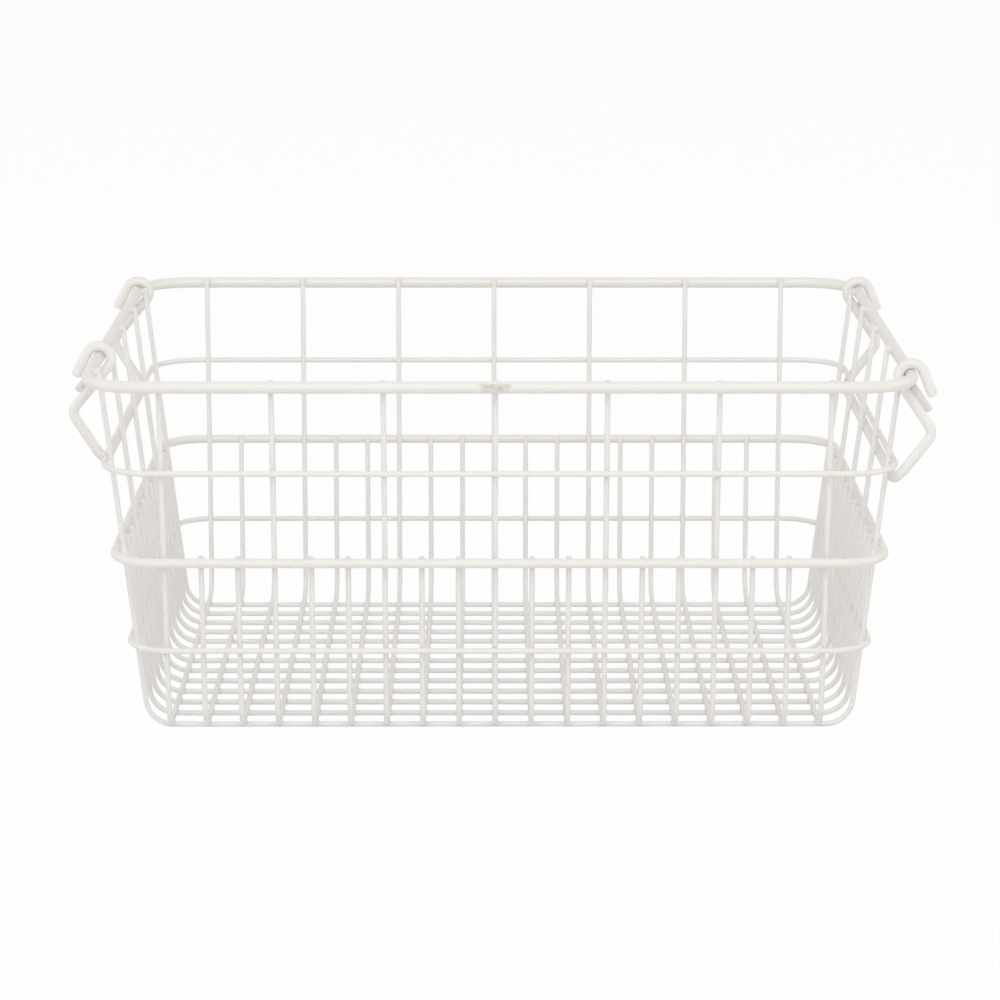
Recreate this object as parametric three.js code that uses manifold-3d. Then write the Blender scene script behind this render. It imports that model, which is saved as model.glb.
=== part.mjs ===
// Storage basket of welded steel wire with two swinging wire handles.
// Millimetres. +X runs along the basket, +Y from front to back, +Z up.
// The origin is on the floor, under the middle of the basket.

import * as THREE from 'three';
import { mergeVertices } from 'three/addons/utils/BufferGeometryUtils.js';
import Module from 'manifold-3d';

// Wire diameters
const GRID_WIRE = 3;
const RIM_WIRE = 6.6;
const BELT_WIRE = 5.2;
const RING_WIRE = 3.2;
const HANDLE_WIRE = 5.6;
const KEEPER_WIRE = 3.6;

// Grid of the bottom and the walls
const CROSS_COUNT = 19;
const CROSS_PITCH = 20;
const CROSS_SHIFT = -2.5;
const LONG_COUNT = 13;
const LONG_PITCH = 20;
const TALL_EVERY = 3;
const BEND_RADIUS = 15;

// Walls: half the distance between their feet, and how far they lean out for each millimetre of height
const END_FOOT = 195.6;
const END_LEAN = 0.1114;
const SIDE_FOOT = 137.9;
const SIDE_LEAN = 0.071;

// Rings: height of each centre line above the floor, and its corner radius in plan
const LOWER_HEIGHT = 51.5;
const LOWER_CORNER = 24;
const BELT_HEIGHT = 102.5;
const BELT_CORNER = 26;
const UPPER_HEIGHT = 153;
const UPPER_CORNER = 28;
const RIM_HEIGHT = 201.6;
const RIM_CORNER = 30;

// How far the wire ends stand above the centre line of the ring they are welded to
const RIM_TIP = 3;
const BELT_TIP = 3.1;

// Flat pressed into the front of the rim
const FLAT_LENGTH = 18;
const FLAT_DEPTH = 0.9;

// Handles: slants are in degrees from the vertical while the handle hangs straight down
const HOOK_PLAY = 0.9;
const HOOK_SEAT = 0.5;
const HOOK_CLEARANCE = 1.1;
const INNER_HOOK_Y = 78;
const ARM_SLANT = 40;
const ARM_LENGTH = 33.7;
const ELBOW_RADIUS = 7;
const SHANK_SLANT = 32;
const SHANK_LENGTH = 34;
const GRIP_RADIUS = 10;
const TAIL_SLANT = 28;
const TAIL_LENGTH = 15;
const KEEPER_START = 4.8;
const KEEPER_END = 22;

// Gaps: between welded wires, and between a resting handle and the wall behind it
const WELD_GAP = 0.3;
const REST_GAP = 0.3;

// Facets
const WIRE_SIDES = 8;
const STOUT_SIDES = 10;
const BEND_STEPS = 5;
const CORNER_STEPS = 8;
const HOOK_STEPS = 14;

const COATING = { color: 0xf3f0e9, roughness: 0.5, metalness: 0.0 };

const degrees = THREE.MathUtils.degToRad;

// A round wire is drawn as a regular polygon of the same area.
function sectionRadius(diameter, sides) {
  const step = (2 * Math.PI) / sides;
  return (diameter / 2) * Math.sqrt(step / Math.sin(step));
}

// Distance from a wire's centre to the flats of its section
function flatDistance(diameter, sides) {
  return sectionRadius(diameter, sides) * Math.cos(Math.PI / sides);
}

const LONG_HEIGHT = flatDistance(GRID_WIRE, WIRE_SIDES);
const CROSS_HEIGHT = LONG_HEIGHT + GRID_WIRE + WELD_GAP;

// Centre of the long wires on the end walls at a height, as half the distance across
function endWall(height) {
  return END_FOOT + END_LEAN * (height - LONG_HEIGHT);
}

// Centre of the cross wires on the front and back walls at a height
function sideWall(height) {
  return SIDE_FOOT + SIDE_LEAN * (height - CROSS_HEIGHT);
}

// Distance between the centres of a grid wire and a ring welded to its outside
function weldOffset(ringWire) {
  return (GRID_WIRE + ringWire) / 2 + WELD_GAP;
}

// A wire's centre line: straight runs between points, with a section at each point.
class WirePath extends THREE.Curve {
  constructor(points, closed) {
    super();
    this.points = points;
    this.spans = closed ? points.length : points.length - 1;
    this.closed = closed;
  }

  pointAtIndex(index) {
    return this.points[(index + this.points.length) % this.points.length];
  }

  getPoint(t, target = new THREE.Vector3()) {
    return target.copy(this.pointAtIndex(Math.round(t * this.spans)));
  }

  getPointAt(u, target) {
    return this.getPoint(u, target);
  }

  getTangentAt(u, target = new THREE.Vector3()) {
    const index = Math.round(u * this.spans);
    const here = this.pointAtIndex(index);
    target.set(0, 0, 0);
    if (this.closed || index > 0) {
      target.add(here.clone().sub(this.pointAtIndex(index - 1)).normalize());
    }
    if (this.closed || index < this.spans) {
      target.add(this.pointAtIndex(index + 1).clone().sub(here).normalize());
    }
    return target.normalize();
  }
}

// Points of a round bend that replaces the corner between two straight runs
function bend(before, corner, after, radius, steps) {
  const inward = corner.clone().sub(before).normalize();
  const outward = after.clone().sub(corner).normalize();
  const turn = inward.angleTo(outward);
  const start = corner.clone().addScaledVector(inward, -radius * Math.tan(turn / 2));
  const toCentre = outward.clone().addScaledVector(inward, -outward.dot(inward)).normalize();
  const points = [];
  for (let step = 0; step <= steps; step += 1) {
    const angle = (turn * step) / steps;
    points.push(
      start.clone()
        .addScaledVector(inward, radius * Math.sin(angle))
        .addScaledVector(toCentre, radius * (1 - Math.cos(angle))),
    );
  }
  return points;
}

// A wire with free ends
function openWire(points, diameter, sides) {
  const radius = sectionRadius(diameter, sides);
  const section = new THREE.Shape();
  for (let side = 0; side < sides; side += 1) {
    const angle = ((side + 0.5) * 2 * Math.PI) / sides;
    const corner = [radius * Math.cos(angle), radius * Math.sin(angle)];
    if (side === 0) section.moveTo(...corner);
    else section.lineTo(...corner);
  }
  section.closePath();
  return new THREE.ExtrudeGeometry(section, {
    extrudePath: new WirePath(points, false),
    steps: points.length - 1,
    bevelEnabled: false,
  });
}

// A wire whose ends are butt-welded into a loop
function ringWire(points, diameter, sides) {
  const path = new WirePath(points, true);
  return new THREE.TubeGeometry(path, points.length, sectionRadius(diameter, sides), sides, true);
}

// Bends a wire into an upright U: up one wall, across the bottom, up the other wall.
function trayWire(place, foot, floor, tip, reachAt) {
  const ends = [place(-reachAt(tip), tip), place(reachAt(tip), tip)];
  const feet = [place(-foot, floor), place(foot, floor)];
  const points = [
    ends[0],
    ...bend(ends[0], feet[0], feet[1], BEND_RADIUS, BEND_STEPS),
    ...bend(feet[0], feet[1], ends[1], BEND_RADIUS, BEND_STEPS),
    ends[1],
  ];
  return openWire(points, GRID_WIRE, WIRE_SIDES);
}

function tipHeight(index) {
  return index % TALL_EVERY === 0 ? RIM_HEIGHT + RIM_TIP : BELT_HEIGHT + BELT_TIP;
}

// Place of one wire in a row that is centred on zero
function rowPlace(index, count, pitch) {
  return (index - (count - 1) / 2) * pitch;
}

function crossWire(index) {
  const x = CROSS_SHIFT + rowPlace(index, CROSS_COUNT, CROSS_PITCH);
  const place = (y, z) => new THREE.Vector3(x, y, z);
  return trayWire(place, SIDE_FOOT, CROSS_HEIGHT, tipHeight(index), sideWall);
}

function longWire(index) {
  const y = rowPlace(index, LONG_COUNT, LONG_PITCH);
  const place = (x, z) => new THREE.Vector3(x, y, z);
  return trayWire(place, END_FOOT, LONG_HEIGHT, tipHeight(index), endWall);
}

function ring(height, diameter, cornerRadius, sides) {
  const halfX = endWall(height) + weldOffset(diameter);
  const halfY = sideWall(height) + weldOffset(diameter);
  const corners = [[1, -1], [1, 1], [-1, 1], [-1, -1]].map(
    ([sideX, sideY]) => new THREE.Vector3(sideX * halfX, sideY * halfY, height),
  );
  const points = corners.flatMap((corner, index) => {
    const before = corners[(index + 3) % 4];
    const after = corners[(index + 1) % 4];
    return bend(before, corner, after, cornerRadius, CORNER_STEPS);
  });
  return ringWire(points, diameter, sides);
}

const wasm = await Module();
wasm.setup();

function toSolid(geometry) {
  const bare = geometry.clone();
  bare.deleteAttribute('normal');
  bare.deleteAttribute('uv');
  const merged = mergeVertices(bare);
  return new wasm.Manifold(new wasm.Mesh({
    numProp: 3,
    vertProperties: new Float32Array(merged.attributes.position.array),
    triVerts: new Uint32Array(merged.index.array),
  }));
}

function toGeometry(solid) {
  const mesh = solid.getMesh();
  const geometry = new THREE.BufferGeometry();
  geometry.setAttribute('position', new THREE.BufferAttribute(mesh.vertProperties, 3));
  geometry.setIndex(new THREE.BufferAttribute(mesh.triVerts, 1));
  geometry.computeVertexNormals();
  return geometry;
}

// The rim has a short flat pressed into the middle of its front.
function rimRing() {
  const whole = ring(RIM_HEIGHT, RIM_WIRE, RIM_CORNER, STOUT_SIDES);
  const front = sideWall(RIM_HEIGHT) + weldOffset(RIM_WIRE) + RIM_WIRE / 2;
  const press = new THREE.BoxGeometry(FLAT_LENGTH, RIM_WIRE, 2 * RIM_WIRE);
  press.translate(CROSS_SHIFT, -front - RIM_WIRE / 2 + FLAT_DEPTH, RIM_HEIGHT);
  return toGeometry(toSolid(whole).subtract(toSolid(press)));
}

// A hook hangs on the top of the rim, so its centre, which is the hinge, lies a little below the rim's.
const HINGE_X = endWall(RIM_HEIGHT) + weldOffset(RIM_WIRE);
const HINGE_HEIGHT = RIM_HEIGHT - (HOOK_PLAY - HOOK_SEAT);
const HOOK_RADIUS = (RIM_WIRE + HANDLE_WIRE) / 2 + HOOK_PLAY;

// The hooks sit just outside the last tall wires, except the left front one,
// which hangs nearer the middle, between the first two.
const OUTER_TALL = rowPlace(LONG_COUNT - 1, LONG_COUNT, LONG_PITCH);
const HOOK_Y = OUTER_TALL + (GRID_WIRE + HANDLE_WIRE) / 2 + HOOK_CLEARANCE;

// Handle outline in the plane of one hook: x outward from the hinge, y up
const ARM_ALONG = new THREE.Vector2(Math.sin(degrees(ARM_SLANT)), -Math.cos(degrees(ARM_SLANT)));
const ARM_INSIDE = new THREE.Vector2(-Math.cos(degrees(ARM_SLANT)), -Math.sin(degrees(ARM_SLANT)));
const SHANK_ALONG = new THREE.Vector2(-Math.sin(degrees(SHANK_SLANT)), -Math.cos(degrees(SHANK_SLANT)));
const TAIL_ALONG = new THREE.Vector2(Math.sin(degrees(TAIL_SLANT)), -Math.cos(degrees(TAIL_SLANT)));
const ARM_TOP = ARM_INSIDE.clone().multiplyScalar(HOOK_RADIUS);
const ELBOW = ARM_TOP.clone().addScaledVector(ARM_ALONG, ARM_LENGTH);
const GRIP = ELBOW.clone().addScaledVector(SHANK_ALONG, SHANK_LENGTH);

// The hook, from the tip of its tail over the rim and down the inside to the top of the arm
function hookOutline() {
  const first = degrees(TAIL_SLANT);
  const last = Math.PI + degrees(ARM_SLANT);
  const loop = [];
  for (let step = 0; step <= HOOK_STEPS; step += 1) {
    const angle = first + ((last - first) * step) / HOOK_STEPS;
    loop.push(new THREE.Vector2(Math.cos(angle), Math.sin(angle)).multiplyScalar(HOOK_RADIUS));
  }
  const tip = loop[0].clone().addScaledVector(TAIL_ALONG, TAIL_LENGTH);
  return [tip, ...loop];
}

// One handle is a single wire: hook, arm, shank, grip, and the same again mirrored.
function handleWire(side, frontY, backY) {
  const place = (flat, y) => new THREE.Vector3(side * flat.x, y, flat.y);
  const half = (y, otherY) => {
    const [armTop, elbow, grip] = [ARM_TOP, ELBOW, GRIP].map((flat) => place(flat, y));
    return [
      ...hookOutline().map((flat) => place(flat, y)),
      ...bend(armTop, elbow, grip, ELBOW_RADIUS, BEND_STEPS),
      ...bend(elbow, grip, place(GRIP, otherY), GRIP_RADIUS, BEND_STEPS),
    ];
  };
  const points = [...half(frontY, backY), ...half(backY, frontY).reverse()];
  return openWire(points, HANDLE_WIRE, STOUT_SIDES);
}

// A short rod welded along the arm closes the slot of the hook, so the rim can't slip out.
function keeperRod(side, y) {
  const offset = HOOK_RADIUS - (HANDLE_WIRE + KEEPER_WIRE) / 2 - WELD_GAP;
  const axis = ARM_INSIDE.clone().multiplyScalar(offset);
  const points = [KEEPER_START, KEEPER_END].map((distance) => {
    const flat = axis.clone().addScaledVector(ARM_ALONG, distance);
    return new THREE.Vector3(side * flat.x, y, flat.y);
  });
  return openWire(points, KEEPER_WIRE, WIRE_SIDES);
}

// Inward turn that brings a hanging grip against the end wall
function leanToWall() {
  const wallAngle = Math.atan(END_LEAN);
  const hingeToWall = (HINGE_X - endWall(HINGE_HEIGHT)) * Math.cos(wallAngle);
  const gripToWall = (GRID_WIRE + HANDLE_WIRE) / 2 + REST_GAP;
  const gripAngle = Math.atan2(-GRIP.x, -GRIP.y);
  return wallAngle + Math.asin((hingeToWall - gripToWall) / GRIP.length()) - gripAngle;
}

const basket = new THREE.Group();

function add(parent, name, geometry) {
  const mesh = new THREE.Mesh(geometry, new THREE.MeshStandardMaterial(COATING));
  mesh.name = name;
  parent.add(mesh);
}

add(basket, 'rim_ring', rimRing());
add(basket, 'upper_ring', ring(UPPER_HEIGHT, RING_WIRE, UPPER_CORNER, WIRE_SIDES));
add(basket, 'middle_ring', ring(BELT_HEIGHT, BELT_WIRE, BELT_CORNER, STOUT_SIDES));
add(basket, 'lower_ring', ring(LOWER_HEIGHT, RING_WIRE, LOWER_CORNER, WIRE_SIDES));

const numbered = (name, index) => `${name}_${String(index + 1).padStart(2, '0')}`;
for (let index = 0; index < CROSS_COUNT; index += 1) {
  add(basket, numbered('cross_wire', index), crossWire(index));
}
for (let index = 0; index < LONG_COUNT; index += 1) {
  add(basket, numbered('long_wire', index), longWire(index));
}

// A handle and its keepers turn together about the rim; the lean is inward.
function handle(name, side, frontY, backY, lean) {
  const group = new THREE.Group();
  group.position.set(side * HINGE_X, 0, HINGE_HEIGHT);
  group.rotation.y = side * lean;
  add(group, name, handleWire(side, frontY, backY));
  add(group, `${name}_front_keeper`, keeperRod(side, frontY));
  add(group, `${name}_back_keeper`, keeperRod(side, backY));
  basket.add(group);
}

handle('left_handle', -1, -INNER_HOOK_Y, HOOK_Y, 0);
handle('right_handle', 1, -HOOK_Y, HOOK_Y, leanToWall());

export default basket;
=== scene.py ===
# %% [markdown]
# # A wire storage basket with two swinging handles
# The real basket is a lattice of steel wires, bent, spot-welded together and powder coated ivory.
# This lesson builds it the way a wire shop does: feed a wire, bend it, cut it, weld it, coat it.
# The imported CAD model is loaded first. It is the frame that says where every wire lies, in metres.

# %% Load the frame
import math

import bmesh
import bpy
from mathutils import Matrix, Vector


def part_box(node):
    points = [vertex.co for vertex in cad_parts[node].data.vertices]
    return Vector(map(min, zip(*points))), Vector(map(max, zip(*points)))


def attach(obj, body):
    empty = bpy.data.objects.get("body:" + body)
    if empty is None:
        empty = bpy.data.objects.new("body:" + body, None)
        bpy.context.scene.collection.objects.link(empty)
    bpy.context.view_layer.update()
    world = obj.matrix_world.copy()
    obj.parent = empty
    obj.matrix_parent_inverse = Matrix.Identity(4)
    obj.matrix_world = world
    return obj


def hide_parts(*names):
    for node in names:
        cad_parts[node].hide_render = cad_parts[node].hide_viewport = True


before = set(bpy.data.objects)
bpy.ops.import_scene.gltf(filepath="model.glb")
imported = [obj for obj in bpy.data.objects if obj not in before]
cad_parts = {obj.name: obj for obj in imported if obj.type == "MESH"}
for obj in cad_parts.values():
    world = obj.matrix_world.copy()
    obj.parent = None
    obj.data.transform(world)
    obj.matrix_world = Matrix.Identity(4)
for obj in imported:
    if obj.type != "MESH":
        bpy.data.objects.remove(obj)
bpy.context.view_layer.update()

# %% [markdown]
# ## The sizes of the basket
# A shop drawing for a wire basket lists wire gauges, the pitch of the mesh, the heights of the rings
# and the slope of the walls. The same sizes are repeated here from the CAD source, in metres, so that
# each new piece lies where the solid it stands for lies. Sizes that belong to one kind of piece come
# with that piece.

# %% Sizes on the shop drawing
MM = 0.001
X = Vector((1, 0, 0))
Y = Vector((0, 1, 0))
Z = Vector((0, 0, 1))

GRID_WIRE = 3 * MM
RIM_WIRE = 6.6 * MM
WELD_GAP = 0.3 * MM

LONG_HEIGHT = 1.461 * MM
CROSS_HEIGHT = LONG_HEIGHT + GRID_WIRE + WELD_GAP
BELT_HEIGHT = 102.5 * MM
RIM_HEIGHT = 201.6 * MM

# How far from the middle each wall starts, and how far it leans out for each metre up.
END_FOOT = 195.6 * MM
END_LEAN = 0.1114
SIDE_FOOT = 137.9 * MM
SIDE_LEAN = 0.071


def end_wall(height):
    """Half the distance between the end walls' wires at a height."""
    return END_FOOT + END_LEAN * (height - LONG_HEIGHT)


def side_wall(height):
    """Half the distance between the front and back walls' wires at a height."""
    return SIDE_FOOT + SIDE_LEAN * (height - CROSS_HEIGHT)


def weld_offset(ring_wire):
    """Distance between the centres of a wall wire and a ring welded to its outside."""
    return (GRID_WIRE + ring_wire) / 2 + WELD_GAP


rim_length = 2 * (end_wall(RIM_HEIGHT) + weld_offset(RIM_WIRE))
print("rim, from centre to centre:", round(rim_length, 4), "m long")

# %% [markdown]
# ## Selecting in code
# Blender's operators act on whatever is selected, and loading the frame leaves its solids selected.
# By hand one would click. Here one helper leaves a single piece selected and active, and another picks
# points in edit mode by where they lie, because that needs no point numbers.

# %% Selecting
TOUCHING = 0.01 * MM


def only(piece):
    """Leaves nothing but one piece selected and active."""
    bpy.ops.object.select_all(action="DESELECT")
    piece.select_set(True)
    bpy.context.view_layer.objects.active = piece


def pick_points(piece, test):
    """In edit mode, selects the points whose place passes a test."""
    bpy.ops.mesh.select_mode(type="VERT")
    bpy.ops.mesh.select_all(action="DESELECT")
    mesh = bmesh.from_edit_mesh(piece.data)
    for point in mesh.verts:
        point.select_set(test(point.co))
    mesh.select_flush_mode()
    bmesh.update_edit_mesh(piece.data)


print("objects selected after loading the frame:", len(bpy.context.selected_objects))

# %% [markdown]
# ## A wire-bending machine
# A bending machine feeds wire forward and folds it round a pin. In Blender the cut end of the wire is a
# circle of points: extruding that circle feeds wire, and the Spin tool folds it round a centre.
# A curve with a round bevel would give the same tube, but extrude and spin keep the mesh editable and
# put sections only where the wire bends. Spin turns the other way from a rotation, hence its minus.

# %% The bending machine
BEND_STEP = math.radians(7.5)
CAP_SEGMENTS = 4
ROUND_PROFILE = 0.5
JUST_OVER = 1.01


class Bender:
    """Feeds a round wire from its cut end and bends it as it goes."""

    def __init__(self, name, wire, start, heading, sides):
        """Starts a wire with a circle of points that faces along its heading."""
        self.radius = wire / 2
        self.start = start.copy()
        self.point = start.copy()
        self.heading = heading.normalized()
        bpy.ops.object.select_all(action="DESELECT")
        turn = self.heading.to_track_quat("Z", "Y").to_euler()
        bpy.ops.mesh.primitive_circle_add(vertices=sides, radius=self.radius, location=start, rotation=turn)
        self.piece = bpy.context.object
        self.piece.name = self.piece.data.name = name
        bpy.ops.object.transform_apply(location=True, rotation=True, scale=True)
        bpy.ops.object.mode_set(mode="EDIT")
        bpy.ops.mesh.select_all(action="SELECT")

    def feed(self, length):
        """Pushes straight wire forward."""
        step = self.heading * length
        bpy.ops.mesh.extrude_region_move(TRANSFORM_OT_translate={"value": step})
        self.point += step

    def bend(self, angle, radius, axis):
        """Folds the wire round a pin that stands along an axis."""
        centre = self.point + radius * axis.cross(self.heading)
        steps = max(1, round(angle / BEND_STEP))
        bpy.ops.mesh.spin(steps=steps, angle=-angle, center=centre, axis=axis)
        turn = Matrix.Rotation(angle, 3, axis)
        self.point = centre + turn @ (self.point - centre)
        self.heading = turn @ self.heading

    def cap(self, end, rounding):
        """Closes one end with a face and rounds its edge by a share of the radius."""
        reach = JUST_OVER * self.radius
        pick_points(self.piece, lambda place: (place - end).length < reach)
        bpy.ops.mesh.edge_face_add()
        width = rounding * self.radius
        bpy.ops.mesh.bevel(offset=width, segments=CAP_SEGMENTS, profile=ROUND_PROFILE, affect="EDGES")

    def cut(self, rounding):
        """Closes both ends of the wire and hands it over."""
        self.cap(self.point, rounding)
        self.cap(self.start, rounding)
        return self.finish()

    def close(self):
        """Welds the end of the wire to its start, which makes a ring."""
        bpy.ops.mesh.select_all(action="SELECT")
        bpy.ops.mesh.remove_doubles(threshold=TOUCHING)
        return self.finish()

    def finish(self):
        """Points all faces outwards, leaves edit mode and shades the wire smooth."""
        bpy.ops.mesh.select_all(action="SELECT")
        bpy.ops.mesh.normals_make_consistent(inside=False)
        bpy.ops.object.mode_set(mode="OBJECT")
        bpy.ops.object.shade_smooth()
        return self.piece


def tangent(radius, angle):
    """How much straight wire a bend takes up on each side of its corner."""
    return radius * math.tan(angle / 2)


print("one bend of 90 degrees gets", round(math.pi / 2 / BEND_STEP), "sections")

# %% [markdown]
# ## Standing in for a CAD wire
# Every finished wire rides on a CAD body and hides the plain solid that it stands for. Its box is
# compared with the solid's box, because a piece that strays from its solid would no longer fit the
# mechanism.

# %% Hand a piece to the frame
misfit = {}


def stand_in(piece, node, body):
    """Lets a piece stand for one CAD node, and notes how far their boxes differ."""
    places = [point.co for point in piece.data.vertices]
    lowest = [min(place[axis] for place in places) for axis in range(3)]
    highest = [max(place[axis] for place in places) for axis in range(3)]
    node_low, node_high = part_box(node)
    pairs = zip(lowest + highest, [*node_low, *node_high])
    misfit[node] = max(abs(mine - given) for mine, given in pairs)
    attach(piece, body)
    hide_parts(node)
    return piece


def largest_misfit():
    """The largest difference of boxes so far, in millimetres."""
    return round(max(misfit.values()) / MM, 3)


print("nodes to stand in for:", len(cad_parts))

# %% [markdown]
# ## Rows of copies
# A shop bends wires in batches. In Blender a finished wire is duplicated with a mesh of its own, so that
# every copy can be coated by itself, and the model that was copied is then thrown away.
# The cross wires run front to back and lie on the long wires, which run left to right. The cross wires
# sit a little left of the middle, as they do on the real basket.

# %% Rows of copies
CROSS_COUNT = 19
CROSS_PITCH = 20 * MM
CROSS_SHIFT = -2.5 * MM
LONG_COUNT = 13
LONG_PITCH = 20 * MM


def copy_piece(model, name, shift):
    """A copy of a piece with its own mesh, moved along."""
    only(model)
    bpy.ops.object.duplicate(linked=False)
    piece = bpy.context.object
    piece.name = piece.data.name = name
    piece.location = shift
    bpy.ops.object.transform_apply(location=True, rotation=False, scale=False)
    return piece


def discard(piece):
    """Deletes one piece."""
    only(piece)
    bpy.ops.object.delete()


def row_place(index, count, pitch):
    """Where one of a row of wires lies, counted from the middle of the row."""
    return (index - (count - 1) / 2) * pitch


FIRST_CROSS = CROSS_SHIFT + row_place(0, CROSS_COUNT, CROSS_PITCH)
FIRST_LONG = row_place(0, LONG_COUNT, LONG_PITCH)
print("first cross wire at x", round(FIRST_CROSS / MM, 1), "first long wire at y", round(FIRST_LONG / MM, 1))

# %% [markdown]
# ## One lattice wire
# Each lattice wire is a wide U: down one wall, round the foot, across the bottom and up the other wall.
# The cut ends are well rounded, because the coating draws back from a sharp edge. Tall wires end just
# above the rim's centre, and short ones just above the middle ring's.

# %% One lattice wire
GRID_SIDES = 16
TIP_ROUNDING = 0.75
FOOT_BEND = 15 * MM
RIM_TIP = 3 * MM
BELT_TIP = 3.1 * MM
TALL_TIP = RIM_HEIGHT + RIM_TIP
SHORT_TIP = BELT_HEIGHT + BELT_TIP


def lattice_wire(name, across, reach, foot, floor, tip):
    """One U-shaped wire through the origin of its row."""
    start = -reach * across + tip * Z
    corner = -foot * across + floor * Z
    down = corner - start
    turn = down.angle(across)
    axis = down.cross(across).normalized()
    spent = tangent(FOOT_BEND, turn)
    machine = Bender(name, GRID_WIRE, start, down, GRID_SIDES)
    machine.feed(down.length - spent)
    machine.bend(turn, FOOT_BEND, axis)
    machine.feed(2 * (foot - spent))
    machine.bend(turn, FOOT_BEND, axis)
    machine.feed(down.length - spent)
    return machine.cut(TIP_ROUNDING)


print("tips of the wires:", round(TALL_TIP / MM, 1), "and", round(SHORT_TIP / MM, 1), "mm up")

# %% [markdown]
# ## The lattice
# Every third wire reaches the rim and the others stop at the middle ring. For each direction a tall and
# a short wire are bent once and then copied along the row.

# %% Bend the lattice wires
TALL_EVERY = 3


def lattice_row(kind, across, along, count, pitch, shift, wall, foot, floor):
    """All wires of one direction, as copies of a tall and a short one."""
    tall = lattice_wire(kind + "_tall", across, wall(TALL_TIP), foot, floor, TALL_TIP)
    short = lattice_wire(kind + "_short", across, wall(SHORT_TIP), foot, floor, SHORT_TIP)
    row = []
    for index in range(count):
        node = f"{kind}_{index + 1:02d}"
        model = short if index % TALL_EVERY else tall
        place = along * (shift + row_place(index, count, pitch))
        wire = copy_piece(model, "coated_" + node, place)
        row.append(stand_in(wire, node, "basket"))
    discard(tall)
    discard(short)
    return row


cross_wires = lattice_row(
    "cross_wire", across=Y, along=X, count=CROSS_COUNT, pitch=CROSS_PITCH, shift=CROSS_SHIFT,
    wall=side_wall, foot=SIDE_FOOT, floor=CROSS_HEIGHT,
)
long_wires = lattice_row(
    "long_wire", across=X, along=Y, count=LONG_COUNT, pitch=LONG_PITCH, shift=0,
    wall=end_wall, foot=END_FOOT, floor=LONG_HEIGHT,
)
print("lattice wires:", len(cross_wires + long_wires), "largest misfit:", largest_misfit(), "mm")

# %% [markdown]
# ## The rings
# A ring is one wire bent round four corners, with its ends butt-welded so that no seam shows. The rim is
# the stoutest, the middle ring carries the short wires, and two thin rings keep the walls true.
# The machine starts at the middle of the front and meets its own start again.

# %% Bend the rings
RING_SIDES = 20
RIGHT_ANGLE = math.pi / 2
BELT_WIRE = 5.2 * MM
RING_WIRE = 3.2 * MM
LOWER_HEIGHT = 51.5 * MM
UPPER_HEIGHT = 153 * MM


def bent_ring(node, wire, height, corner):
    """One ring outside the wall wires, with its corners bent to a radius."""
    half_x = end_wall(height) + weld_offset(wire)
    half_y = side_wall(height) + weld_offset(wire)
    machine = Bender("coated_" + node, wire, Vector((0, -half_y, height)), X, RING_SIDES)
    machine.feed(half_x - corner)
    for side in (half_y, half_x, half_y):
        machine.bend(RIGHT_ANGLE, corner, Z)
        machine.feed(2 * (side - corner))
    machine.bend(RIGHT_ANGLE, corner, Z)
    machine.feed(half_x - corner)
    return stand_in(machine.close(), node, "basket")


rim = bent_ring("rim_ring", RIM_WIRE, RIM_HEIGHT, corner=30 * MM)
upper = bent_ring("upper_ring", RING_WIRE, UPPER_HEIGHT, corner=28 * MM)
belt = bent_ring("middle_ring", BELT_WIRE, BELT_HEIGHT, corner=26 * MM)
lower = bent_ring("lower_ring", RING_WIRE, LOWER_HEIGHT, corner=24 * MM)
rings = [rim, upper, belt, lower]
print("rings:", [(ring.name, len(ring.data.polygons)) for ring in rings])

# %% [markdown]
# ## The pressed flat on the rim
# A press leaves a short flat at the middle of the rim's front. It stays bare here.
# A block as long as the flat cuts it with a Boolean modifier, which is then applied. Shading by angle
# keeps the flat's edge crisp while the rest of the wire stays smooth.

# %% Press the flat
FLAT_LENGTH = 18 * MM
FLAT_DEPTH = 0.9 * MM
FLAT_Y = FLAT_DEPTH - side_wall(RIM_HEIGHT) - weld_offset(RIM_WIRE) - RIM_WIRE / 2
SMOOTH_ANGLE = math.radians(30)


def press_flat(ring):
    """Cuts the flat into the front of a ring."""
    bpy.ops.object.select_all(action="DESELECT")
    place = (CROSS_SHIFT, FLAT_Y - RIM_WIRE / 2, RIM_HEIGHT)
    bpy.ops.mesh.primitive_cube_add(size=1, location=place, scale=(FLAT_LENGTH, RIM_WIRE, 2 * RIM_WIRE))
    block = bpy.context.object
    only(ring)
    cut = ring.modifiers.new("pressed flat", "BOOLEAN")
    cut.operation = "DIFFERENCE"
    cut.solver = "EXACT"
    cut.object = block
    bpy.ops.object.modifier_apply(modifier=cut.name)
    discard(block)
    only(ring)
    bpy.ops.object.shade_smooth_by_angle(angle=SMOOTH_ANGLE)


press_flat(rim)
print("rim faces after the flat:", len(rim.data.polygons))

# %% [markdown]
# ## The sizes of the handles
# Each handle is one wire. It starts at the tail of a hook, goes over the rim and down its inside, out
# along an arm, round an elbow, back along a shank, and then the grip crosses to the same again on the
# other side. The hook's centre is the hinge. It lies a little below the rim's centre, because a hanging
# hook settles towards the rim and most of its play is then below.

# %% Sizes of the handles
HANDLE_WIRE = 5.6 * MM
HOOK_PLAY = 0.9 * MM
HOOK_SEAT = 0.5 * MM
HOOK_CLEARANCE = 1.1 * MM
HOOK_RADIUS = (RIM_WIRE + HANDLE_WIRE) / 2 + HOOK_PLAY
HINGE_X = end_wall(RIM_HEIGHT) + weld_offset(RIM_WIRE)
HINGE_HEIGHT = RIM_HEIGHT - (HOOK_PLAY - HOOK_SEAT)

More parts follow.
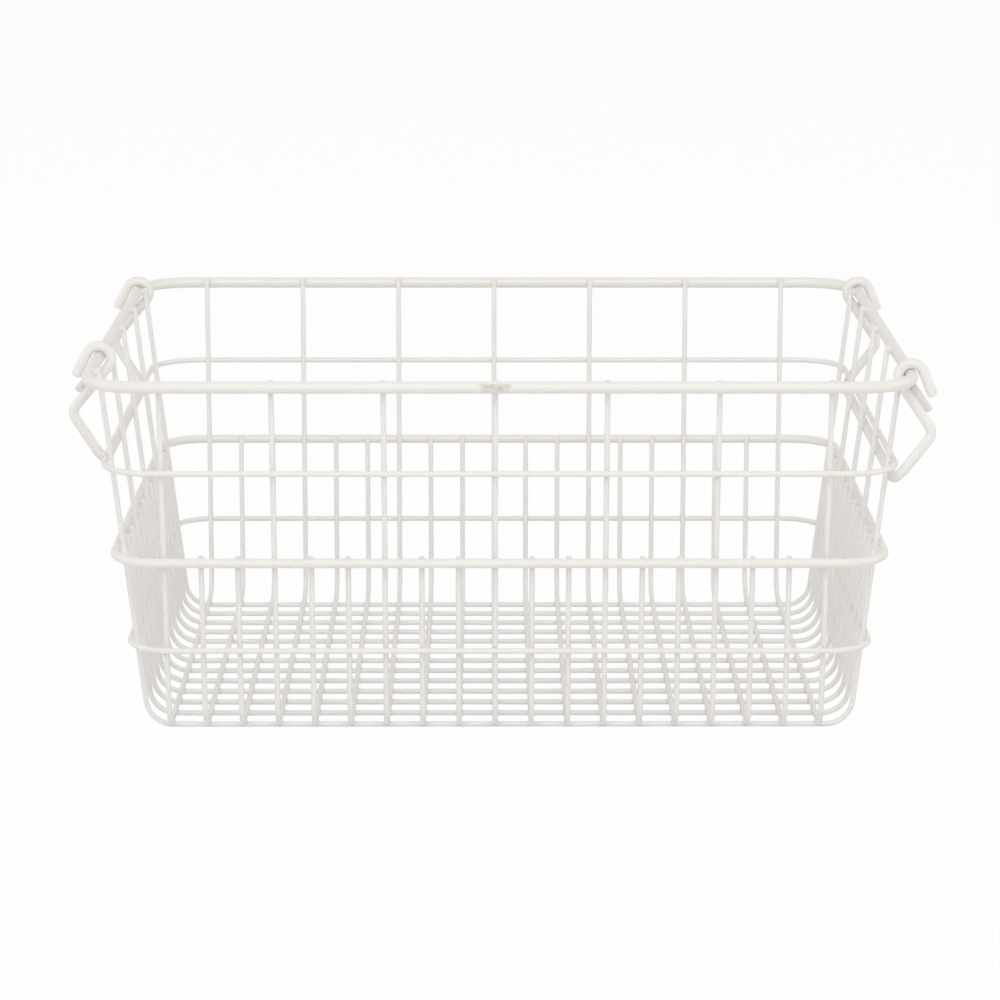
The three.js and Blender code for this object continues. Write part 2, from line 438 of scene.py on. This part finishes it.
TAIL_LENGTH = 15 * MM
TAIL_SLANT = math.radians(28)
ARM_LENGTH = 33.7 * MM
ARM_SLANT = math.radians(40)
SHANK_LENGTH = 34 * MM
SHANK_SLANT = math.radians(32)
ELBOW_RADIUS = 7 * MM
GRIP_RADIUS = 10 * MM

OUTER_TALL = row_place(LONG_COUNT - 1, LONG_COUNT, LONG_PITCH)
HOOK_Y = OUTER_TALL + (GRID_WIRE + HANDLE_WIRE) / 2 + HOOK_CLEARANCE
INNER_HOOK_Y = 78 * MM
HOOKS = {
    "left_handle": {"front": -INNER_HOOK_Y, "back": HOOK_Y},
    "right_handle": {"front": -HOOK_Y, "back": HOOK_Y},
}
SIDE = {"left_handle": -1, "right_handle": 1}
print("bend of a hook:", round(HOOK_RADIUS / MM, 2), "mm, hinge", round(HINGE_HEIGHT / MM, 2), "mm up")

# %% [markdown]
# ## How the handles hang
# The left handle hangs free and has no lean. The right one leans in until its grip rests by the wall
# wires. That angle could be written down, but it is worked out from the sizes, as in the CAD source, so
# that it follows them.

# %% Lean of the handles
REST_GAP = 0.3 * MM


def lean_to_wall():
    """The inward turn that brings a hanging grip against the end wall."""
    grip_out = -HOOK_RADIUS * math.cos(ARM_SLANT) + ARM_LENGTH * math.sin(ARM_SLANT)
    grip_out -= SHANK_LENGTH * math.sin(SHANK_SLANT)
    grip_down = HOOK_RADIUS * math.sin(ARM_SLANT) + ARM_LENGTH * math.cos(ARM_SLANT)
    grip_down += SHANK_LENGTH * math.cos(SHANK_SLANT)
    wall = math.atan(END_LEAN)
    hinge_to_wall = (HINGE_X - end_wall(HINGE_HEIGHT)) * math.cos(wall)
    grip_to_wall = (GRID_WIRE + HANDLE_WIRE) / 2 + REST_GAP
    reach = math.hypot(grip_out, grip_down)
    return wall + math.asin((hinge_to_wall - grip_to_wall) / reach) - math.atan2(-grip_out, grip_down)


LEAN = {"left_handle": 0, "right_handle": lean_to_wall()}


def handle_axes(handle):
    """Outward and upward directions of a handle at rest."""
    side = SIDE[handle]
    turn = Matrix.Rotation(side * LEAN[handle], 3, Y)
    return turn @ (side * X), turn @ Z


print("right handle leans in by", round(math.degrees(LEAN["right_handle"]), 2), "degrees")

# %% [markdown]
# ## Bending the handles
# All bends but two fold about the same level axis, one way or the other. The two at the ends of the grip
# fold in the plane of the shanks. The second half of the wire repeats the first backwards. The ends are
# cut off plain and only eased a little.

# %% Bend the handles
HANDLE_SIDES = 20
CUT_ROUNDING = 0.4


def bent_handle(node):
    """One handle, from the tail of its front hook to the tail of its back hook."""
    out, up = handle_axes(node)
    front = HOOKS[node]["front"]
    back = HOOKS[node]["back"]
    hinge = Vector((SIDE[node] * HINGE_X, front, HINGE_HEIGHT))
    tail = math.sin(TAIL_SLANT) * out - math.cos(TAIL_SLANT) * up
    hook_side = HOOK_RADIUS * (math.cos(TAIL_SLANT) * out + math.sin(TAIL_SLANT) * up)
    over = out.cross(up)
    loop = math.pi + ARM_SLANT - TAIL_SLANT
    elbow = ARM_SLANT + SHANK_SLANT
    arm = ARM_LENGTH - tangent(ELBOW_RADIUS, elbow)
    shank = SHANK_LENGTH - tangent(ELBOW_RADIUS, elbow) - GRIP_RADIUS
    start = hinge + hook_side + TAIL_LENGTH * tail
    machine = Bender("coated_" + node, HANDLE_WIRE, start, -tail, HANDLE_SIDES)
    machine.feed(TAIL_LENGTH)
    machine.bend(loop, HOOK_RADIUS, over)
    machine.feed(arm)
    machine.bend(elbow, ELBOW_RADIUS, -over)
    machine.feed(shank)
    inward = machine.heading.cross(Y)
    machine.bend(RIGHT_ANGLE, GRIP_RADIUS, inward)
    machine.feed(back - front - 2 * GRIP_RADIUS)
    machine.bend(RIGHT_ANGLE, GRIP_RADIUS, inward)
    machine.feed(shank)
    machine.bend(elbow, ELBOW_RADIUS, over)
    machine.feed(arm)
    machine.bend(loop, HOOK_RADIUS, -over)
    machine.feed(TAIL_LENGTH)
    return stand_in(machine.cut(CUT_ROUNDING), node, node)


handles = [bent_handle(node) for node in HOOKS]
print("handles:", [(handle.name, len(handle.data.polygons)) for handle in handles])

# %% [markdown]
# ## The keepers
# A short rod is welded along each arm, just under the rim, so that the hook can't slip off.
# It is plain cut wire, so it is fed straight and its ends are eased a little.

# %% Cut the keepers
KEEPER_WIRE = 3.6 * MM
KEEPER_START = 4.8 * MM
KEEPER_END = 22 * MM
KEEPER_DEPTH = HOOK_RADIUS - (HANDLE_WIRE + KEEPER_WIRE) / 2 - WELD_GAP
KEEPER_SIDES = 16
ARMS = [(handle, hook, y) for handle, hooks in HOOKS.items() for hook, y in hooks.items()]


def rod_by_arm(name, wire, handle, y, depth, start, end, rounding):
    """A straight rod along an arm, at a depth from the hinge towards that arm."""
    out, up = handle_axes(handle)
    along = math.sin(ARM_SLANT) * out - math.cos(ARM_SLANT) * up
    inside = -math.cos(ARM_SLANT) * out - math.sin(ARM_SLANT) * up
    hinge = Vector((SIDE[handle] * HINGE_X, y, HINGE_HEIGHT))
    machine = Bender(name, wire, hinge + depth * inside + start * along, along, KEEPER_SIDES)
    machine.feed(end - start)
    return machine.cut(rounding)


keepers = []
for handle, hook, y in ARMS:
    node = f"{handle}_{hook}_keeper"
    rod = rod_by_arm(
        "coated_" + node, KEEPER_WIRE, handle, y, KEEPER_DEPTH,
        start=KEEPER_START, end=KEEPER_END, rounding=CUT_ROUNDING,
    )
    keepers.append(stand_in(rod, node, handle))
print("keepers:", len(keepers), "largest misfit of any piece:", largest_misfit(), "mm")

# %% [markdown]
# ## One weld bead
# Where two wires cross, a spot welder presses them together and a little metal squeezes out into the
# four corners between them. The coating then bridges what is left. One small bead is modelled: a disc
# that is extruded thinner above and below, with its waist pulled out at the four corners. It has few
# faces, because it is repeated hundreds of times.

# %% Model one weld bead
BEAD_SIDES = 16
# The waist is measured in wires, and the other three are shares of the waist.
BEAD_WAIST = 1.15
BEAD_SHOULDER = 0.72
BEAD_LOBE = 1.22
BEAD_CORNER = 0.25


def weld_bead(name, small_wire, thickness):
    """A bead at the origin, with its flat sides facing up and down."""
    radius = BEAD_WAIST * small_wire / 2
    half = thickness / 2
    bpy.ops.object.select_all(action="DESELECT")
    bpy.ops.mesh.primitive_circle_add(
        vertices=BEAD_SIDES, radius=radius * BEAD_SHOULDER, fill_type="NGON", location=(0, 0, -half)
    )
    bead = bpy.context.object
    bead.name = bead.data.name = name
    bpy.ops.object.transform_apply(location=True, rotation=True, scale=True)
    bpy.ops.object.mode_set(mode="EDIT")
    bpy.ops.mesh.select_all(action="SELECT")
    for grow in (1 / BEAD_SHOULDER, BEAD_SHOULDER):
        bpy.ops.mesh.extrude_region_move(TRANSFORM_OT_translate={"value": (0, 0, half)})
        bpy.ops.transform.resize(value=(grow, grow, 1))
    pick_points(bead, lambda p: abs(p.z) < TOUCHING and abs(abs(p.x) - abs(p.y)) < BEAD_CORNER * radius)
    bpy.ops.transform.resize(value=(BEAD_LOBE, BEAD_LOBE, 1))
    bpy.ops.mesh.select_all(action="SELECT")
    bpy.ops.mesh.normals_make_consistent(inside=False)
    bpy.ops.object.mode_set(mode="OBJECT")
    bpy.ops.object.shade_smooth()
    return bead


print("waist of a bead between grid wires:", round(BEAD_WAIST * GRID_WIRE / MM, 2), "mm")

# %% [markdown]
# ## The welds of the bottom
# Every crossing in the bottom has a bead. One bead goes to the first crossing, and two Array modifiers
# lay it out over the mesh. A weld stands for no solid of its own, so it only rides on the basket.

# %% Weld the bottom
BEAD_THICKNESS = 1.5 * MM


def repeat(piece, step, count):
    """Copies a piece along a line with an Array modifier, and applies it."""
    only(piece)
    array = piece.modifiers.new("row of welds", "ARRAY")
    array.count = count
    array.use_relative_offset = False
    array.use_constant_offset = True
    array.constant_offset_displace = step
    bpy.ops.object.modifier_apply(modifier=array.name)


def settle(piece, body):
    """Lets a weld ride on a body."""
    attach(piece, body)
    return piece


floor_welds = weld_bead("welds_of_the_bottom", GRID_WIRE, BEAD_THICKNESS)
floor_welds.location = (FIRST_CROSS, FIRST_LONG, (LONG_HEIGHT + CROSS_HEIGHT) / 2)
only(floor_welds)
bpy.ops.object.transform_apply(location=True, rotation=False, scale=False)
repeat(floor_welds, CROSS_PITCH * X, CROSS_COUNT)
repeat(floor_welds, LONG_PITCH * Y, LONG_COUNT)
settle(floor_welds, "basket")
print("welds in the bottom:", CROSS_COUNT * LONG_COUNT)

# %% [markdown]
# ## The welds of the rings
# A ring is welded to the outside of every wall wire that reaches it. Along the front and back the rows
# run in X, on the end walls they run in Y. The bead is turned so that it lies between the wire and the
# ring. The beads of the rim are larger and sit a little higher, by the cut tips of the tall wires.

# %% Weld the rings
RIM_BEAD = 4 * MM
RIM_BEAD_THICKNESS = 4 * MM
RIM_BEAD_LIFT = 0.9 * MM


def weld_row(bead, place, outward, step, count):
    """A row of beads along one wall."""
    row = copy_piece(bead, bead.name + "_row", Vector((0, 0, 0)))
    level = "X" if abs(outward.y) > abs(outward.x) else "Y"
    row.rotation_euler = outward.to_track_quat("Z", level).to_euler()
    row.location = place
    only(row)
    bpy.ops.object.transform_apply(location=True, rotation=True, scale=False)
    repeat(row, step, count)
    return row


def ring_welds(name, size, thickness, height, every):
    """All welds of one ring, joined into one piece."""
    bead = weld_bead(name, size, thickness)
    middle = (GRID_WIRE + WELD_GAP) / 2
    side = side_wall(height) + middle
    end = end_wall(height) + middle
    cross_count = (CROSS_COUNT - 1) // every + 1
    long_count = (LONG_COUNT - 1) // every + 1
    rows = []
    for sign in (-1, 1):
        place = Vector((FIRST_CROSS, sign * side, height))
        rows.append(weld_row(bead, place, sign * Y, every * CROSS_PITCH * X, cross_count))
        place = Vector((sign * end, FIRST_LONG, height))
        rows.append(weld_row(bead, place, sign * X, every * LONG_PITCH * Y, long_count))
    discard(bead)
    only(rows[0])
    for row in rows[1:]:
        row.select_set(True)
    bpy.ops.object.join()
    rows[0].name = rows[0].data.name = name
    return settle(rows[0], "basket")


welds = [
    floor_welds,
    ring_welds("welds_of_the_rim", RIM_BEAD, RIM_BEAD_THICKNESS, RIM_HEIGHT + RIM_BEAD_LIFT, TALL_EVERY),
    ring_welds("welds_of_the_upper_ring", GRID_WIRE, BEAD_THICKNESS, UPPER_HEIGHT, TALL_EVERY),
    ring_welds("welds_of_the_middle_ring", GRID_WIRE, BEAD_THICKNESS, BELT_HEIGHT, every=1),
    ring_welds("welds_of_the_lower_ring", GRID_WIRE, BEAD_THICKNESS, LOWER_HEIGHT, every=1),
]
print("weld pieces:", [(weld.name, len(weld.data.polygons)) for weld in welds])

# %% [markdown]
# ## The seams of the keepers
# A keeper is welded all along its arm. The seam fills the groove between the two rods, so no light
# shows between them. It stops a little short of the keeper's cut ends.

# %% Weld the keepers
SEAM_WIRE = 2.6 * MM
SEAM_INSET = 1.2 * MM
SEAM_DEPTH = KEEPER_DEPTH + (KEEPER_WIRE + WELD_GAP) / 2
SEAM_ROUNDING = 0.75

seams = []
for handle, hook, y in ARMS:
    seam = rod_by_arm(
        f"seam_of_{handle}_{hook}_keeper", SEAM_WIRE, handle, y, SEAM_DEPTH,
        start=KEEPER_START + SEAM_INSET, end=KEEPER_END - SEAM_INSET, rounding=SEAM_ROUNDING,
    )
    seams.append(settle(seam, handle))
print("seams:", len(seams))

# %% [markdown]
# ## Helpers for nodes
# Materials are networks of nodes. Building them in code takes the same three moves again and again: add
# a node, set its values and link it. A noise mostly stays in the middle of its range, so one helper
# spreads that middle out.

# %% Helpers for nodes
NOISE_LOW = 0.3
NOISE_HIGH = 0.7


def add_node(tree, kind, **settings):
    """A new node with some of its settings changed."""
    node = tree.nodes.new(kind)
    for key, value in settings.items():
        setattr(node, key, value)
    return node


def noise(tree, place, scale, detail):
    """Noise at a place, with its scale linked from another socket."""
    node = add_node(tree, "ShaderNodeTexNoise")
    node.inputs["Detail"].default_value = detail
    tree.links.new(scale, node.inputs["Scale"])
    tree.links.new(place, node.inputs["Vector"])
    return node.outputs["Fac"]


def spread(tree, value, low=None, high=None):
    """Maps the middle of a noise to the range between two sockets, or else to 0 and 1."""
    node = add_node(tree, "ShaderNodeMapRange")
    node.inputs["From Min"].default_value = NOISE_LOW
    node.inputs["From Max"].default_value = NOISE_HIGH
    for label, end in (("To Min", low), ("To Max", high)):
        if end is not None:
            tree.links.new(end, node.inputs[label])
    tree.links.new(value, node.inputs["Value"])
    return node.outputs["Result"]


print("a noise is spread from", NOISE_LOW, "to", NOISE_HIGH)

# %% [markdown]
# ## The skin of the coat
# The whole basket has one finish: a satin ivory powder coat. Close up such a coat is never one flat
# colour. It has a fine orange-peel skin, it drifts a little between warmer and cooler ivory, and its
# gloss varies. One node group puts out these varying values, and each material places it with its own
# numbers.

# %% The skin of a powder coat
NUMBER = "NodeSocketFloat"
SKIN_INPUTS = {"Drift": 6.0, "Peel": 700.0, "Rough Low": 0.38, "Rough High": 0.5}
SKIN_OUTPUTS = ("Warmth", "Roughness", "Height")
DRIFT_DETAIL = 3.0
PEEL_DETAIL = 2.0


def coat_skin():
    """The node group that gives warmth, roughness and height over a coat."""
    group = bpy.data.node_groups.new("coat_skin", "ShaderNodeTree")
    for label, value in SKIN_INPUTS.items():
        socket = group.interface.new_socket(label, in_out="INPUT", socket_type=NUMBER)
        socket.default_value = value
    for label in SKIN_OUTPUTS:
        group.interface.new_socket(label, in_out="OUTPUT", socket_type=NUMBER)
    given = add_node(group, "NodeGroupInput").outputs
    made = add_node(group, "NodeGroupOutput").inputs
    place = add_node(group, "ShaderNodeTexCoord").outputs["Object"]
    drift = noise(group, place, given["Drift"], DRIFT_DETAIL)
    peel = noise(group, place, given["Peel"], PEEL_DETAIL)
    rough = spread(group, peel, given["Rough Low"], given["Rough High"])
    group.links.new(spread(group, drift), made["Warmth"])
    group.links.new(rough, made["Roughness"])
    group.links.new(peel, made["Height"])
    return group


SKIN = coat_skin()
print("coat skin nodes:", len(SKIN.nodes))

# %% [markdown]
# ## A coat of powder
# A coat mixes a cooler and a warmer ivory by the skin's warmth, takes its roughness from the skin, and
# gets its orange peel from a bump. The gloss is the same all over, so it is set on the shader itself.

# %% One coat
GLOSS = 0.65


def coat(name, cool, warm, drift_scale, peel_scale, peel_depth, rough):
    """A powder coat between two ivories, with the range of its roughness."""
    material = bpy.data.materials.new(name)
    material.use_nodes = True
    tree = material.node_tree
    shader = tree.nodes["Principled BSDF"]
    shader.inputs["Specular IOR Level"].default_value = GLOSS
    skin = add_node(tree, "ShaderNodeGroup", node_tree=SKIN)
    rough_low, rough_high = rough
    numbers = {"Drift": drift_scale, "Peel": peel_scale, "Rough Low": rough_low, "Rough High": rough_high}
    for label, value in numbers.items():
        skin.inputs[label].default_value = value
    tint = add_node(tree, "ShaderNodeMix", data_type="RGBA")
    tint.inputs["A"].default_value = (*cool, 1)
    tint.inputs["B"].default_value = (*warm, 1)
    bump = add_node(tree, "ShaderNodeBump")
    bump.inputs["Distance"].default_value = peel_depth
    tree.links.new(skin.outputs["Warmth"], tint.inputs["Factor"])
    tree.links.new(skin.outputs["Height"], bump.inputs["Height"])
    tree.links.new(tint.outputs["Result"], shader.inputs["Base Color"])
    tree.links.new(skin.outputs["Roughness"], shader.inputs["Roughness"])
    tree.links.new(bump.outputs["Normal"], shader.inputs["Normal"])
    return material


def paint(pieces, material):
    """Gives pieces one material."""
    for piece in pieces:
        piece.data.materials.clear()
        piece.data.materials.append(material)


print("specular level of the coats:", GLOSS)

# %% [markdown]
# ## Coating the wires
# The photograph shows slightly different tints on the lattice, the rings and the handles, so each has its
# own ivory and its own peel. Welds are rougher and a little darker. The keepers and their seams get the
# darkest ivory, which is painted shade: it stands for the shade that the rim and the hooks cast on them.

# %% Coat the wires
lattice_coat = coat(
    "ivory_lattice_coat", cool=(0.88, 0.878, 0.867), warm=(0.88, 0.865, 0.845),
    drift_scale=9, peel_scale=800, peel_depth=0.05 * MM, rough=(0.4, 0.52),
)
ring_coat = coat(
    "ivory_ring_coat", cool=(0.885, 0.875, 0.852), warm=(0.885, 0.862, 0.822),
    drift_scale=5, peel_scale=600, peel_depth=0.06 * MM, rough=(0.36, 0.48),
)
handle_coat = coat(
    "ivory_handle_coat", cool=(0.90, 0.893, 0.875), warm=(0.90, 0.88, 0.85),
    drift_scale=14, peel_scale=650, peel_depth=0.06 * MM, rough=(0.36, 0.48),
)
weld_coat = coat(
    "ivory_weld_coat", cool=(0.86, 0.845, 0.82), warm=(0.85, 0.825, 0.785),
    drift_scale=120, peel_scale=900, peel_depth=0.12 * MM, rough=(0.5, 0.65),
)
# This darker ivory is painted shade for the keepers and their seams, which lie in the shade of the rim and
# the hooks.
painted_shade_keeper_coat = coat(
    "ivory_keeper_coat_with_painted_shade", cool=(0.80, 0.775, 0.735), warm=(0.78, 0.745, 0.695),
    drift_scale=90, peel_scale=900, peel_depth=0.1 * MM, rough=(0.45, 0.6),
)
paint(cross_wires + long_wires, lattice_coat)
paint(rings, ring_coat)
paint(handles, handle_coat)
paint(welds, weld_coat)
paint(keepers + seams, painted_shade_keeper_coat)
print("coats:", [each.name for each in (lattice_coat, ring_coat, handle_coat, weld_coat, painted_shade_keeper_coat)])

# %% [markdown]
# ## The finish of the flat
# A stamping tool leaves its flat duller and blotchier than the coat round it. The blotches come from two
# ivories that lie far apart and a fine drift between them. They run out into the plain ring coat towards
# the ends of the flat, by the distance from its middle.

# %% A coat for the flat
# About the middle of the ring coat's two ivories.
RING_TINT = (0.885, 0.868, 0.837, 1)
FADE_START = 0.32 * FLAT_LENGTH
FADE_END = 0.53 * FLAT_LENGTH


def fade_at_ends(material):
    """Lets the dull finish run out into the plain coat towards the ends of the flat."""
    tree = material.node_tree
    shader = tree.nodes["Principled BSDF"]
    blotches = shader.inputs["Base Color"].links[0].from_socket
    place = add_node(tree, "ShaderNodeSeparateXYZ")
    tree.links.new(add_node(tree, "ShaderNodeTexCoord").outputs["Object"], place.inputs["Vector"])
    away = add_node(tree, "ShaderNodeMath", operation="SUBTRACT")
    away.inputs[1].default_value = CROSS_SHIFT
    distance = add_node(tree, "ShaderNodeMath", operation="ABSOLUTE")
    fade = add_node(tree, "ShaderNodeMapRange", interpolation_type="SMOOTHSTEP")
    fade.inputs["From Min"].default_value = FADE_START
    fade.inputs["From Max"].default_value = FADE_END
    tint = add_node(tree, "ShaderNodeMix", data_type="RGBA")
    tint.inputs["B"].default_value = RING_TINT
    tree.links.new(place.outputs["X"], away.inputs[0])
    tree.links.new(away.outputs[0], distance.inputs[0])
    tree.links.new(distance.outputs[0], fade.inputs["Value"])
    tree.links.new(fade.outputs["Result"], tint.inputs["Factor"])
    tree.links.new(blotches, tint.inputs["A"])
    tree.links.new(tint.outputs["Result"], shader.inputs["Base Color"])


stamped_coat = coat(
    "ivory_stamped_coat", cool=(0.60, 0.585, 0.55), warm=(0.85, 0.83, 0.79),
    drift_scale=320, peel_scale=1200, peel_depth=0.2 * MM, rough=(0.55, 0.7),
)
fade_at_ends(stamped_coat)
print("nodes of the flat's coat:", len(stamped_coat.node_tree.nodes))

# %% [markdown]
# ## The bare stamp
# The flat's points are picked by where they lie, and its face gets the second material of the rim.

# %% Dull the flat
rim.data.materials.append(stamped_coat)
only(rim)
bpy.ops.object.mode_set(mode="EDIT")
pick_points(rim, lambda place: abs(place.y - FLAT_Y) < TOUCHING)
rim.active_material_index = len(rim.data.materials) - 1
bpy.ops.object.material_slot_assign()
bpy.ops.object.mode_set(mode="OBJECT")
dull_faces = [face for face in rim.data.polygons if face.material_index == rim.active_material_index]
print("faces of the flat:", len(dull_faces))

# %% [markdown]
# ## The floor
# The basket stands on a plain pale floor. To the camera, and in reflections, the floor is nearly pure
# white through the Light Path node, while the light that it throws back at the basket stays that of a
# pale floor. A share of the floor's own shading is kept, so its shadow stays.

# %% The floor
FLOOR_SIZE = 12

bpy.ops.object.select_all(action="DESELECT")
lowest = min(point.co.z for wire in long_wires for point in wire.data.vertices)
bpy.ops.mesh.primitive_plane_add(size=FLOOR_SIZE, location=(0, 0, lowest))
floor = bpy.context.object
floor.name = "studio_floor"


def seen_by_eye(tree):
    """1 for the rays that show the background, 0 for those that carry light."""
    path = add_node(tree, "ShaderNodeLightPath")
    total = path.outputs["Is Camera Ray"]
    for label in ("Is Glossy Ray", "Is Transmission Ray"):
        either = add_node(tree, "ShaderNodeMath", operation="MAXIMUM")
        tree.links.new(total, either.inputs[0])
        tree.links.new(path.outputs[label], either.inputs[1])
        total = either.outputs[0]
    return total


print("floor at", round(lowest / MM, 3), "mm")

# %% [markdown]
# ## Paint for the floor
# The paint blends a matte grey-white with a plain white glow, and the eye's rays take most of the glow.

# %% Paint the floor
WHITE = (1, 1, 1, 1)
FLOOR_COLOUR = (0.93, 0.93, 0.93, 1)
FLOOR_ROUGHNESS = 0.9
BACKGROUND_SHARE = 0.955
BACKGROUND_LEVEL = 1.0

floor_paint = bpy.data.materials.new("studio_floor_paint")
floor_paint.use_nodes = True
tree = floor_paint.node_tree
matte = tree.nodes["Principled BSDF"]
matte.inputs["Base Color"].default_value = FLOOR_COLOUR
matte.inputs["Roughness"].default_value = FLOOR_ROUGHNESS
glow = add_node(tree, "ShaderNodeEmission")
glow.inputs["Color"].default_value = WHITE
glow.inputs["Strength"].default_value = BACKGROUND_LEVEL
share = add_node(tree, "ShaderNodeMath", operation="MULTIPLY")
share.inputs[1].default_value = BACKGROUND_SHARE
blend = add_node(tree, "ShaderNodeMixShader")
tree.links.new(seen_by_eye(tree), share.inputs[0])
tree.links.new(share.outputs[0], blend.inputs["Fac"])
tree.links.new(matte.outputs["BSDF"], blend.inputs[1])
tree.links.new(glow.outputs["Emission"], blend.inputs[2])
tree.links.new(blend.outputs["Shader"], tree.nodes["Material Output"].inputs["Surface"])
floor.data.materials.append(floor_paint)
print("floor paint nodes:", len(tree.nodes))

# %% [markdown]
# ## The sky
# A plain, slightly warm sky fills the shadows from all sides. As with the floor, the eye's rays see it
# as pure white, and only the rays that carry light get its real level.

# %% The sky
SKY_LEVEL = 0.43
SKY_TINT = (1, 0.965, 0.93, 1)

world = bpy.data.worlds.new("studio")
bpy.context.scene.world = world
world.use_nodes = True
tree = world.node_tree
sky = tree.nodes["Background"]
eye = seen_by_eye(tree)
hue = add_node(tree, "ShaderNodeMix", data_type="RGBA")
hue.inputs["A"].default_value = SKY_TINT
hue.inputs["B"].default_value = WHITE
level = add_node(tree, "ShaderNodeMapRange")
level.inputs["To Min"].default_value = SKY_LEVEL
level.inputs["To Max"].default_value = BACKGROUND_LEVEL
tree.links.new(eye, hue.inputs["Factor"])
tree.links.new(eye, level.inputs["Value"])
tree.links.new(hue.outputs["Result"], sky.inputs["Color"])
tree.links.new(level.outputs["Result"], sky.inputs["Strength"])
print("sky nodes:", len(tree.nodes))

# %% [markdown]
# ## The lamps
# A large, slightly cool softbox in front and above is the main lamp. It makes the wires that run left to
# right bright and leaves those that run front to back darker, as in the photograph. Two warm softboxes
# light the ends, and a weak one behind lifts the back. All point at the middle of the bottom.

# %% The lamps
COOL_LAMP = (0.965, 0.99, 1)
PLAIN_LAMP = (1, 1, 1)
WARM_LAMP = (1, 0.93, 0.86)


def softbox(name, place, width, height, power, colour):
    """A soft rectangular lamp that points at the origin."""
    bpy.ops.object.light_add(type="AREA", location=place)
    lamp = bpy.context.object
    lamp.name = lamp.data.name = name
    lamp.rotation_euler = (-Vector(place)).to_track_quat("-Z", "Y").to_euler()
    lamp.data.shape = "RECTANGLE"
    lamp.data.size = width
    lamp.data.size_y = height
    lamp.data.energy = power
    lamp.data.color = colour


softbox("front_softbox", place=(0, -1.85, 1.52), width=1.2, height=2.0, power=21.5, colour=COOL_LAMP)
softbox("back_softbox", place=(0, 1.54, 1.84), width=1.2, height=1.2, power=2.5, colour=PLAIN_LAMP)
softbox("left_softbox", place=(-2.07, -0.18, 1.2), width=1.2, height=1.2, power=9, colour=WARM_LAMP)
softbox("right_softbox", place=(2.07, -0.18, 1.2), width=1.2, height=1.2, power=9, colour=WARM_LAMP)
print("lamps:", [lamp.name for lamp in bpy.data.lights])

# %% [markdown]
# ## The camera
# The photograph was taken with a long lens from a little above the rim, almost square to the front.
# The camera's place, tilt and focal length come from fitting the crossings of the wires.

# %% The camera
IMAGE_SIZE = 1000
FOCAL_PIXELS = 3134
SENSOR = 36
CAMERA_PLACE = Vector((-7.3, -1788, 552.6)) * MM
CAMERA_HEADING = math.radians(0.255)
CAMERA_PITCH = math.radians(14.2)
CAMERA_ROLL = math.radians(0.05)

aim = Vector((
    math.sin(CAMERA_HEADING) * math.cos(CAMERA_PITCH),
    math.cos(CAMERA_HEADING) * math.cos(CAMERA_PITCH),
    -math.sin(CAMERA_PITCH),
))
bpy.ops.object.camera_add(location=CAMERA_PLACE)
camera = bpy.context.object
camera.name = "photo_camera"
turn = aim.to_track_quat("-Z", "Y").to_matrix() @ Matrix.Rotation(CAMERA_ROLL, 3, "Z")
camera.rotation_euler = turn.to_euler()
camera.data.sensor_width = SENSOR
camera.data.lens = FOCAL_PIXELS * SENSOR / IMAGE_SIZE
bpy.context.scene.camera = camera
bpy.context.scene.view_settings.view_transform = "Standard"
print("lens:", round(camera.data.lens, 1), "mm")
